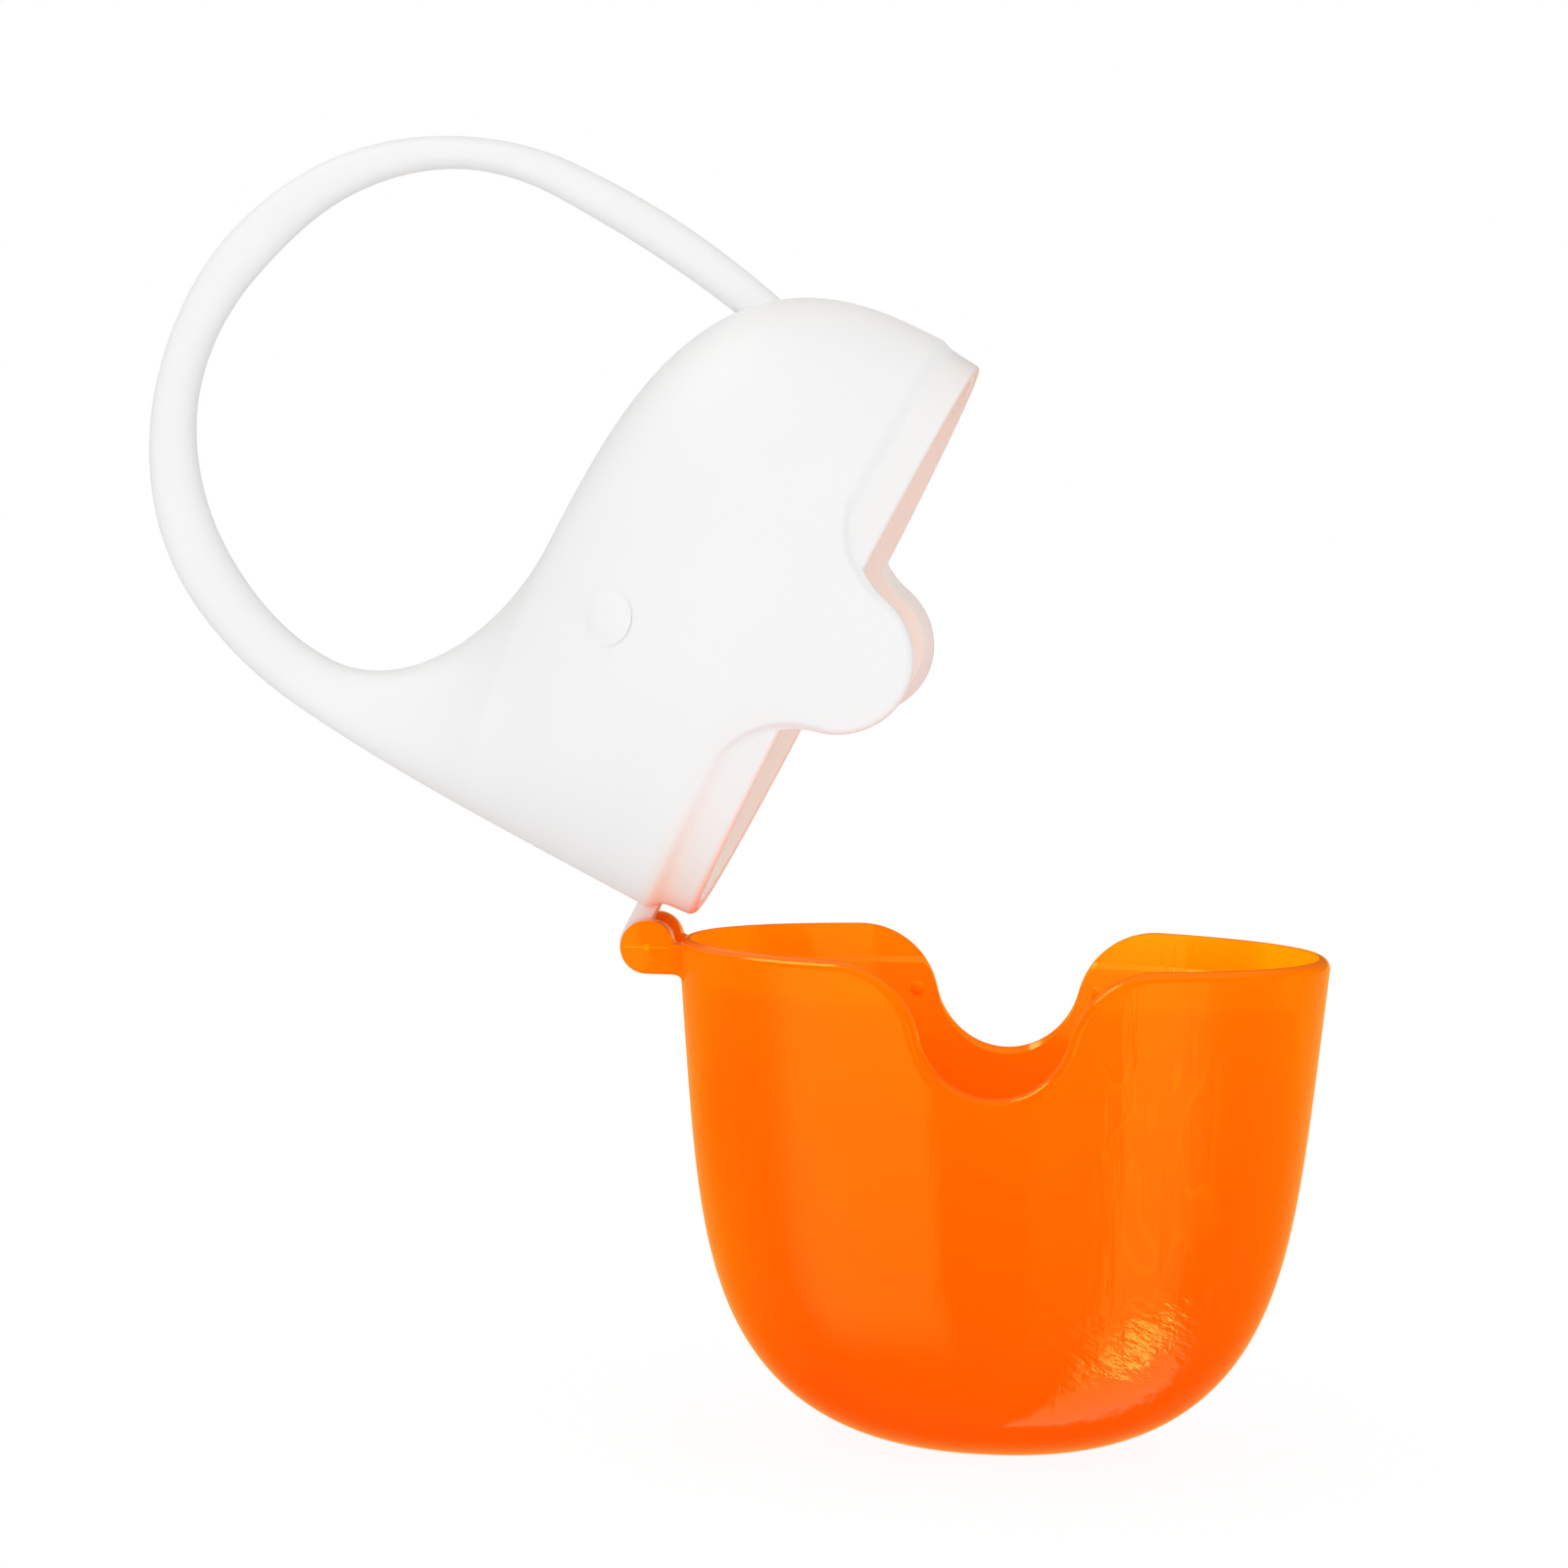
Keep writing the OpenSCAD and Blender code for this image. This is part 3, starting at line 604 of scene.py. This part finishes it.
def build_ears():
    line = ear_outline()
    inner = KNUCKLE_W / 2 + KNUCKLE_GAP
    out = []
    for s in (-1, 1):
        y0, y1 = sorted((s * inner, s * (inner + EAR_T)))
        out.append(plate("ear", line, y0, y1, bowl_to_world, ORANGE, EAR_EDGE, EAR_EDGE_N))
    y0, y1 = -inner - EAR_T - SEAM_UP, -inner - EAR_T + SEAM_DEEP
    for length, turn in SEAM_BARS:
        c, d = math.cos(math.radians(turn)), math.sin(math.radians(turn))
        corners = [(u * length / 2, w * SEAM_HALF_W) for u, w in ((-1, -1), (1, -1), (1, 1), (-1, 1))]
        bar = [(c * u - d * w, d * u + c * w) for u, w in corners]
        seam = plate("seam", bar, y0, y1, bowl_to_world, ORANGE, SEAM_EDGE, SEAM_EDGE_N)
        # The seam's raised bars take the lighter inside orange, a painted highlight along them
        seam.data.materials.append(ORANGE_IN_LIT)
        for poly in seam.data.polygons:
            poly.material_index = 1
        out.append(seam)
    return out


def build_pips():
    out = []
    k = draw_in(PIP_DROP)
    y = (HD * k - BOWL_WALL) * plan_share(PIP_X / (HW * k - BOWL_WALL))
    ball = (PIP_R ** 2 + PIP_H ** 2) / (2 * PIP_H)
    a = full_turn(40)
    for x in (-PIP_X, PIP_X):
        for s in (-1, 1):
            loops = []
            for r in np.linspace(PIP_R + PIP_SKIRT, PIP_TIP, PIP_RINGS):
                rise = math.sqrt(ball ** 2 - min(r, ball) ** 2) - ball + PIP_H
                loops.append(np.c_[x + s * r * np.cos(a), np.full(len(a), s * (y - rise)),
                                   r * np.sin(a) - PIP_DROP])
            out.append(skin("pip", loops[::s], bowl_to_world, ORANGE_IN_LIT, (s < 0, s > 0)))
    return out


bowl_obj = crease(join("bowl_visual", [build_bowl(), *build_ears()]), BOWL_CREASE)
pips = join("bowl_pips", build_pips())
for obj in (bowl_obj, pips):
    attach(obj, "case_bowl")
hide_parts("bowl")


# Lid

# The cover's soft edge, an S from the lip's surface out to the cover's own: its depth, its lowest and
# highest z from the rim gap, how the S is bent and its steps. Round the tongues it is a quarter turn.
# How much of its rise each of the two goes back along the notch, and how fast one runs into the other
EDGE_IN, EDGE_LOW, EDGE_HIGH, EDGE_BEND, EDGE_N = 0.88, -0.78, 1.32, 1.24, 14
EDGE_SHARE, EDGE_TURN, TONGUE_RUN = 0.55, 0.8, 1.3
# The cover's inner edge: how far it is set back round the notch and how high it lies
EDGE_TUCK, TUCK_Z = 0.3, 0.25
# The pad's soft slope, from inside its radius to outside it, and how it is set on the cover
PAD_INSIDE, PAD_OUTSIDE, PAD_LIFT, PAD_SINK, PAD_RINGS = 0.5, 1.2, 1.15, 0.03, 19
# The lining's lower edge closes the gap to the shell: how far it reaches in, and over which height
LINING_SINK, LINING_BAND = 0.02, 0.3
# The lip's rounding gets smaller to the far end: the share that is left there, and where it is reached.
# The power by which the jog under the cover's edge is shifted there
FAR_ROUND, FAR_ROUND_AT, JOG_P = 0.35, 0.9, 4
# The knuckle's rounded edge
KNUCKLE_EDGE, KNUCKLE_EDGE_N = 0.25, 4


def build_cover():
    rows = 120
    outer = columns(half_edge(-TONGUE_GAP, HW - SIDE_IN, RIM_GAP))
    edge = half_edge(-TONGUE_GAP, HW - SIDE_IN - COVER_T, RIM_GAP)
    inner = columns(edge)
    on_tongue = np.clip(2 - TONGUE_RUN * np.arange(len(edge[0])) / ARC_N, 0, 1)
    on_tongue = columns((edge[0], on_tongue))[2][:, None]
    loops = [lid_points(inner[0], inner[1], v, COVER_T) for v in lid_rows(COVER_T, rows)[::-1]]
    tuck = columns(half_edge(-TONGUE_GAP - EDGE_TUCK, HW - SIDE_IN - COVER_T, RIM_GAP + TUCK_Z))
    loops.append(cover_loop(tuck, COVER_T))
    for i in range(EDGE_N + 1):
        share = i / EDGE_N
        rise = (EDGE_HIGH - EDGE_LOW) * share
        a = math.pi / 2 * share
        bend = (EDGE_IN * (1 + math.cos(math.pi * share ** EDGE_BEND)) / 2, EDGE_SHARE * rise)
        turn = (EDGE_IN * (1 - math.sin(a)), EDGE_TURN * (1 - math.cos(a)))
        pair = []
        for inset, back in (bend, turn):
            c = columns(half_edge(-TONGUE_GAP - back, HW - SIDE_IN - inset, RIM_GAP + EDGE_LOW + rise))
            pair.append(cover_loop(c, inset))
        loops.append(pair[0] * (1 - on_tongue) + pair[1] * on_tongue)
    high = RIM_GAP + EDGE_HIGH
    for v in lid_rows(0, rows, 1.0)[1:]:
        if v * (ROOT_Z - SIDE_Z) > high:
            loops.append(lid_points(outer[0], outer[1], v, 0))
    return skin("cover_skin", loops, closed_to_world, SOFT)


def build_pad():
    share, side = np.array([PAD_U]), np.array([-1.0])
    at = lid_points(share, side, PAD_V, 0)[0]
    across = lid_points(share + 0.01, side, PAD_V, 0)[0] - at
    up = lid_points(share, side, PAD_V + 0.01, 0)[0] - at
    n = np.cross(across, up)
    n /= np.linalg.norm(n)
    t = across / np.linalg.norm(across)
    b = np.cross(n, t)
    a = full_turn(64)
    loops = []
    for i in range(PAD_RINGS):
        r = (PAD_R + PAD_OUTSIDE) * (1 - i / PAD_RINGS)
        slope = min(max((r - PAD_R + PAD_INSIDE) / (PAD_INSIDE + PAD_OUTSIDE), 0), 1)
        h = PAD_H * PAD_LIFT * (1 + math.cos(math.pi * slope)) / 2 - PAD_SINK
        loops.append(at + np.outer(np.cos(a), t) * r + np.outer(np.sin(a), b) * r + n * h)
    return skin("pad", loops, closed_to_world, SOFT, (False, True))


def build_shell():
    rows = 60
    outer = columns(half_edge(-TONGUE_GAP, HW - LIP_IN, -LIP_REACH))
    inner = columns(half_edge(-TONGUE_GAP, HW - LIP_IN - SHELL_T, -LIP_REACH))
    deep = SHELL_IN + SHELL_T
    loops = [lid_points(inner[0], inner[1], v, deep) for v in lid_rows(deep, rows)[::-1]]
    loops.append(wall(inner, LIP_IN + SHELL_T, np.full(len(inner[0]), RIM_GAP)))
    loops.append(edge_loop(inner, LIP_IN + SHELL_T))
    t = np.clip(outer[0] / FAR_ROUND_AT, 0, 1)[:, None]
    for i in range(ROUND_N):
        a = math.pi / 2 * i / (ROUND_N - 1)
        pair = []
        for r in (LIP_EDGE, LIP_EDGE * FAR_ROUND):
            back, inset = r * (1 - math.cos(a)), LIP_IN + r * (1 - math.sin(a))
            c = columns(half_edge(-TONGUE_GAP - back, HW - inset, -LIP_REACH + back))
            pair.append(edge_loop(c, inset))
        loops.append(pair[0] * (1 - t) + pair[1] * t)
    top = RIM_GAP - LAYER_GAP
    loops.append(wall(outer, LIP_IN, np.full(len(outer[0]), top - SHELL_JOG)))
    jog = wall(outer, LIP_IN, np.full(len(outer[0]), top))
    jog[:, 0] += np.maximum(outer[0], 0) ** JOG_P * (SIDE_IN - FAR_IN)
    loops.append(jog)
    loops += [lid_points(outer[0], outer[1], v, SHELL_IN) for v in lid_rows(SHELL_IN, rows)]
    return skin("shell_skin", loops, closed_to_world, SHELL)


def build_liner():
    rows = 90
    low, bare = LINING_STEP - LIP_REACH, TONGUE_GAP + TONGUE_BORDER
    outer, inner = (columns(faded(half_edge(-bare, HW - k, low), half_edge(-TONGUE_GAP, HW - k, low)))
                    for k in (LINING_IN, LINING_END))
    loops = [lid_points(inner[0], inner[1], v, CAVITY_IN) for v in lid_rows(CAVITY_IN, rows)[::-1]]
    loops.append(wall(inner, LINING_END, np.full(len(inner[0]), RIM_GAP)))
    loops.append(edge_loop(inner, LINING_END))
    loops.append(edge_loop(outer, LINING_IN - LAYER_GAP - LINING_SINK))
    loops.append(edge_loop(outer, LINING_IN, -LINING_BAND))
    loops.append(wall(outer, LINING_IN, np.full(len(outer[0]), RIM_GAP)))
    loops += [lid_points(outer[0], outer[1], v, LINER_IN) for v in lid_rows(LINER_IN, rows)]
    return crease(skin("liner_skin", loops, closed_to_world, PEACH), SOFT_CREASE)


def knuckle_outline():
    arm = PIN_DROP + ARM_GAP
    into = PIN_OUT + HINGE_IN + SHELL_IN + SHELL_T * 0.5
    a_in = math.degrees(math.asin(arm / KNUCKLE_IN))
    a_out = math.degrees(math.asin(arm / KNUCKLE_R))
    pts = [(into, arm), (into, KNUCKLE_R)]
    pts += arc(0, 0, KNUCKLE_R, 90, 180 - a_out, 40)
    pts += arc(0, 0, KNUCKLE_IN, 180 - a_in, 360 + a_in, 60)
    return pts


def build_knuckle():
    half_w = KNUCKLE_W / 2
    return plate("knuckle", knuckle_outline(), -half_w, half_w, closed_to_world, SHELL,
                 KNUCKLE_EDGE, KNUCKLE_EDGE_N)


def strap_side(t, from_x, top, to_x, low, p):
    """One side of the strap: a quarter curve up from its root, one down, and the stretch to its seat."""
    if t <= ARCH_SHARE:
        a = math.pi * t / ARCH_SHARE
        if a < math.pi / 2:
            start = math.asin(((ROOT_Z - low) / (top - low)) ** (p / 2))
            a = start + (math.pi / 2 - start) * a / (math.pi / 2)
            radius = (LOOP_X - from_x) / math.cos(start) ** (2 / p)
            return np.array([LOOP_X - radius * max(math.cos(a), 0) ** (2 / p),
                             low + (top - low) * math.sin(a) ** (2 / p)])
        return np.array([LOOP_X - (to_x - LOOP_X) * math.cos(a),
                         ROOT_Z + (top - ROOT_Z) * math.sin(a)])
    s = (t - ARCH_SHARE) / (1 - ARCH_SHARE)
    return np.array([to_x - SEAT_IN * s * s, ROOT_Z - (ROOT_Z - SEAT_Z) * s])


# Where the strap stands out of its smooth course, outside and into the loop: how far, at which share
# of its length and how long a stretch
STRAP_OUT = ((0.26, 0.16, 0.05), (0.15, 0.40, 0.05), (-0.25, 0.65, 0.05), (0.33, 0.87, 0.08))
STRAP_INTO = ((0.33, 0.12, 0.05), (-0.22, 0.29, 0.04), (0.62, 0.45, 0.05), (-0.48, 0.65, 0.06))


def bumps(t, parts):
    return sum(size * math.exp(-((t - middle) / width) ** 2 / 2) for size, middle, width in parts)


def build_strap():
    rows, sides = ((240, 96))
    root_x, end_x = hinge_side(1, 0)[0], HW - LOOP_IN
    a = full_turn(sides)
    u = np.sign(np.cos(a)) * np.abs(np.cos(a)) ** (2 / PLAN_P)
    y = -np.sign(np.sin(a)) * np.abs(np.sin(a)) ** (2 / PLAN_P)
    loops = []
    for j in range(rows + 1):
        t = j / rows
        p = strap_side(t, root_x, LOOP_TOP, end_x, ROOT_Z - OUTER_LOW, OUTER_P)
        q = strap_side(t, root_x + ROOT_W, LOOP_TOP - TOP_W, end_x - END_W, ROOT_Z, INNER_P)
        way = (q - p) / np.linalg.norm(q - p)
        p, q = p - way * bumps(t, STRAP_OUT), q + way * bumps(t, STRAP_INTO)
        s = min(t / ROOT_SHARE, 1)
        h = (ROOT_D + (STRAP_D - ROOT_D) * s * s * (3 - 2 * s)) / 2
        m = (p + q) / 2 + np.outer(u, (p - q) / 2)
        loops.append(np.c_[m[:, 0], h * y, m[:, 1]])
    return crease(skin("strap_skin", loops, closed_to_world, SOFT), SOFT_CREASE)


cover = crease(join("cover_visual", [build_cover(), build_pad()]), SOFT_CREASE)
shell = crease(join("shell_visual", [build_shell(), build_knuckle()]), SHELL_CREASE)
liner = build_liner()
strap = build_strap()
for obj, name in ((cover, "lid_cover"), (shell, "lid_shell"),
                  (liner, "lid_liner"), (strap, "carry_loop")):
    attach(obj, "case_lid")
    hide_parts(name)


# Painted light on the lid

# The bowl's orange light on the white next to the hinge, by the place in the closed lid: from where it
# fades from the hinge's end and how fast, in millimetres, and its strengths
GLOW_FROM, GLOW_REACH, COVER_GLOW, SHELL_GLOW, NOSE_GLOW = 1.5, 8.0, 0.85, 0.8, 0.5
# Painted orange light on the lip's rounded end: how far from the middle it starts, where it is weakest
# and by how much, its height, the softness of its border and its strength
LIP_GLOW_X, LIP_GLOW_FAR, LIP_GLOW_LESS, LIP_GLOW_H, LIP_GLOW_SOFT, LIP_GLOW_SHARE = 10.0, 22.0, 0.3, 0.55, 0.35, 0.85


def fade(distance, reach):
    """1 where the distance is 0 or less, and nearly 0 from twice the reach."""
    return np.exp(-(distance.clip(0) / reach) ** 2)


def near_hinge(p):
    return np.exp(-(p[:, 0] + HW - GLOW_FROM).clip(0) / GLOW_REACH)


def cover_glow(p):
    """Strongest along the cover's edge."""
    return COVER_GLOW * near_hinge(p) * fade(p[:, 2] - 0.4, 1.3)


def shell_glow(p):
    """In the groove below the cover's edge, on the lip's end and on its nose at the hinge's end."""
    from_end, z = p[:, 0] + HW, p[:, 2]
    groove = 0.8 * fade(np.abs(z + 0.2), 1.0)
    end = fade(z + LIP_REACH, 0.8)
    nose = NOSE_GLOW * fade(from_end - GLOW_FROM, 1.2) * (z < 0.5)
    outside = fade(-from_end - 0.2, 0.6)
    return outside * (SHELL_GLOW * near_hinge(p) * np.maximum(groove, end) + nose)


def no_glow(p):
    return 0 * p[:, 0]


def lip_end_light(p):
    """Painted orange light on the lip's round end beside the tongues, less so to the right."""
    beside = (np.abs(p[:, 0]) > LIP_GLOW_X) * (p[:, 2] < 0)
    near = 1 - LIP_GLOW_LESS * np.clip(p[:, 0] / LIP_GLOW_FAR, 0, 1)
    border = np.clip((-LIP_REACH + LIP_GLOW_H * near - p[:, 2]) / LIP_GLOW_SOFT, 0, 1)
    return beside * border * LIP_GLOW_SHARE * near


paint(cover, "glow", cover_glow)
paint(strap, "glow", no_glow)
paint(shell, "glow", shell_glow)
paint(shell, "peach", lip_end_light)

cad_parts["hinge_pin"].data.materials.clear()
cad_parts["hinge_pin"].data.materials.append(SHELL)


# Camera

# It stands where the photograph was taken from, in millimetres, radians and the photograph's pixels
scene = bpy.context.scene
PHOTO_PX, SENSOR_MM = 1600, 36.0
CAM = (15.29, -425.8, 50.34 + BOWL_H)
YAW, PITCH, ROLL, FOCAL_PX = -0.09216, -0.07842, 0.02419, 4064.5
fwd = Vector((math.sin(YAW) * math.cos(PITCH), math.cos(YAW) * math.cos(PITCH), math.sin(PITCH)))
right = Vector((math.cos(YAW), -math.sin(YAW), 0.0))
up = right.cross(fwd)
cos_roll, sin_roll = math.cos(ROLL), math.sin(ROLL)
right, up = cos_roll * right + sin_roll * up, -sin_roll * right + cos_roll * up
cam_data = bpy.data.cameras.new("camera")
cam = bpy.data.objects.new("camera", cam_data)
scene.collection.objects.link(cam)
cam.matrix_world = Matrix((
    (right.x, up.x, -fwd.x, CAM[0] / 1000),
    (right.y, up.y, -fwd.y, CAM[1] / 1000),
    (right.z, up.z, -fwd.z, CAM[2] / 1000),
    (0, 0, 0, 1)))
cam_data.sensor_width = SENSOR_MM
cam_data.lens = FOCAL_PX / PHOTO_PX * SENSOR_MM
cam_data.clip_start, cam_data.clip_end = 0.01, 10.0
scene.camera = cam


# Light

# A white studio, a little brighter in front than behind. What the plastic mirrors is richer: panels
# beside the camera with a dark room between them, light from above, two lamps, and a backdrop behind
# the object that is tinted orange. Directions have x to the right, y to the back and z up.

# Each panel by its direction: the azimuth in degrees from the camera's side to the right where it
# starts and how softly, the same for its end, its strength, its lowest z, and how many degrees
# further it reaches at the foot
PANELS = (
    (-56, 12, -11, 1.5, 1.6, -0.80, 0),
    (4, 1.5, 26, 2, 0.35, -0.80, 0),
    (24, 1.5, 50, 12, 1.6, -1.2, 50),
)
# Over which z a panel's foot is soft, all of them end above, and the one that reaches further does so
PANEL_SOFT, PANEL_TOP, PANEL_FURTHER = 0.25, (0.05, 0.2), (-0.90, -0.45)
BACKDROP_TINT = (1.0, 0.56, 0.16)
# The lamp for the bright spot near the foot, by azimuth in degrees and by z, and the one up on the
# left, by its direction and the cosines at which it starts and is full
LAMP_AZIMUTH, LAMP_Z = (28, 42, 50, 64), (-0.80, -0.73, -0.69, -0.58)
LAMP_AIM, LAMP_COSINES, LAMP_STRENGTH = (-0.57, -0.10, 0.80), (0.95, 0.975), 10.0


def panel_light(tree, azimuth, z):
    total = 0.0
    for start, soft_start, end, soft_end, strength, foot, further in PANELS:
        rise = smooth(tree, azimuth, math.radians(start - soft_start), math.radians(start + soft_start))
        rise = math_node(tree, "MULTIPLY", rise, smooth(tree, z, foot, foot + PANEL_SOFT))
        turned = smooth(tree, z, *PANEL_FURTHER, -math.radians(further), 0.0)
        turned = math_node(tree, "ADD", azimuth, turned)
        ends = (math.radians(end - soft_end), math.radians(end + soft_end))
        fall = smooth(tree, turned, *ends, strength, 0.0)
        total = math_node(tree, "MULTIPLY_ADD", rise, fall, total)
    return math_node(tree, "MULTIPLY", total, smooth(tree, z, *PANEL_TOP, 1.0, 0.0))


def lamp_light(tree, azimuth, way, z):
    across = band(tree, azimuth, *[math.radians(a) for a in LAMP_AZIMUTH])
    low = math_node(tree, "MULTIPLY", across, band(tree, z, *LAMP_Z))
    low = math_node(tree, "MULTIPLY", low, LAMP_STRENGTH)
    aim = node(tree, "ShaderNodeVectorMath", operation="DOT_PRODUCT")
    tree.links.new(way, aim.inputs[0])
    aim.inputs[1].default_value = Vector(LAMP_AIM).normalized()
    high = smooth(tree, aim.outputs["Value"], *LAMP_COSINES, 0.0, LAMP_STRENGTH)
    return math_node(tree, "ADD", low, high)


def build_world():
    world = bpy.data.worlds.new("studio")
    scene.world = world
    world.use_nodes = True
    tree = world.node_tree
    tree.nodes.clear()
    way = node(tree, "ShaderNodeTexCoord").outputs["Generated"]
    x, y, z = axes(tree, way)
    azimuth = math_node(tree, "ARCTAN2", x, math_node(tree, "MULTIPLY", y, -1.0))
    room = math_node(tree, "MULTIPLY_ADD", z, 0.05, math_node(tree, "MULTIPLY_ADD", y, -0.30, 0.85))
    backdrop = smooth(tree, y, 0.15, 1.0, 0.06, 0.90)
    backdrop = math_node(tree, "MULTIPLY", backdrop, smooth(tree, z, 0.0, 0.12, 1.0, 0.25))
    above = smooth(tree, z, 0.55, 0.8, 0.0, 0.8)
    mirrored = panel_light(tree, azimuth, z)
    for part in (backdrop, above, lamp_light(tree, azimuth, way, z)):
        mirrored = math_node(tree, "ADD", mirrored, part)
    path = node(tree, "ShaderNodeLightPath")
    strength = mix(tree, path.outputs["Is Glossy Ray"], room, mirrored)
    strength = mix(tree, path.outputs["Is Camera Ray"], strength, 1.0)
    behind = math_node(tree, "MULTIPLY", smooth(tree, y, 0.0, 0.35), path.outputs["Is Glossy Ray"])
    sky = node(tree, "ShaderNodeBackground")
    tree.links.new(strength, sky.inputs["Strength"])
    tree.links.new(blended(tree, behind, (1.0, 1.0, 1.0, 1.0), BACKDROP_TINT), sky.inputs["Color"])
    out = node(tree, "ShaderNodeOutputWorld")
    tree.links.new(sky.outputs[0], out.inputs["Surface"])


# The floor's disc in metres and how far it lies under the foot, the light that it gives off and the
# share of it in its look
FLOOR_R, FLOOR_DROP, FLOOR_GLOW, FLOOR_SHARE = 6, 0.0002, 1.03, 0.9


def build_floor():
    """A plain pale floor for the camera alone, with the object's faint shadow on it."""
    material, tree = new_material("floor_pale")
    shade = node(tree, "ShaderNodeBsdfDiffuse")
    colour = wandering(tree, 400.0, 2.0, (0.93, 0.93, 0.93), (0.96, 0.96, 0.96))
    tree.links.new(colour, shade.inputs["Color"])
    glow = node(tree, "ShaderNodeEmission", Strength=FLOOR_GLOW)
    both = node(tree, "ShaderNodeMixShader")
    both.inputs[0].default_value = FLOOR_SHARE
    tree.links.new(shade.outputs[0], both.inputs[1])
    tree.links.new(glow.outputs[0], both.inputs[2])
    out = node(tree, "ShaderNodeOutputMaterial")
    tree.links.new(both.outputs[0], out.inputs["Surface"])
    a = full_turn(64)
    disc = np.c_[FLOOR_R * np.cos(a), FLOOR_R * np.sin(a), 0 * a - FLOOR_DROP]
    floor = add_mesh("floor", disc, [tuple(range(len(a)))], material)
    floor.visible_diffuse = floor.visible_glossy = False
    floor.visible_transmission = floor.visible_shadow = False


build_world()
build_floor()

scene.view_settings.view_transform = "Standard"
scene.view_settings.look = "None"
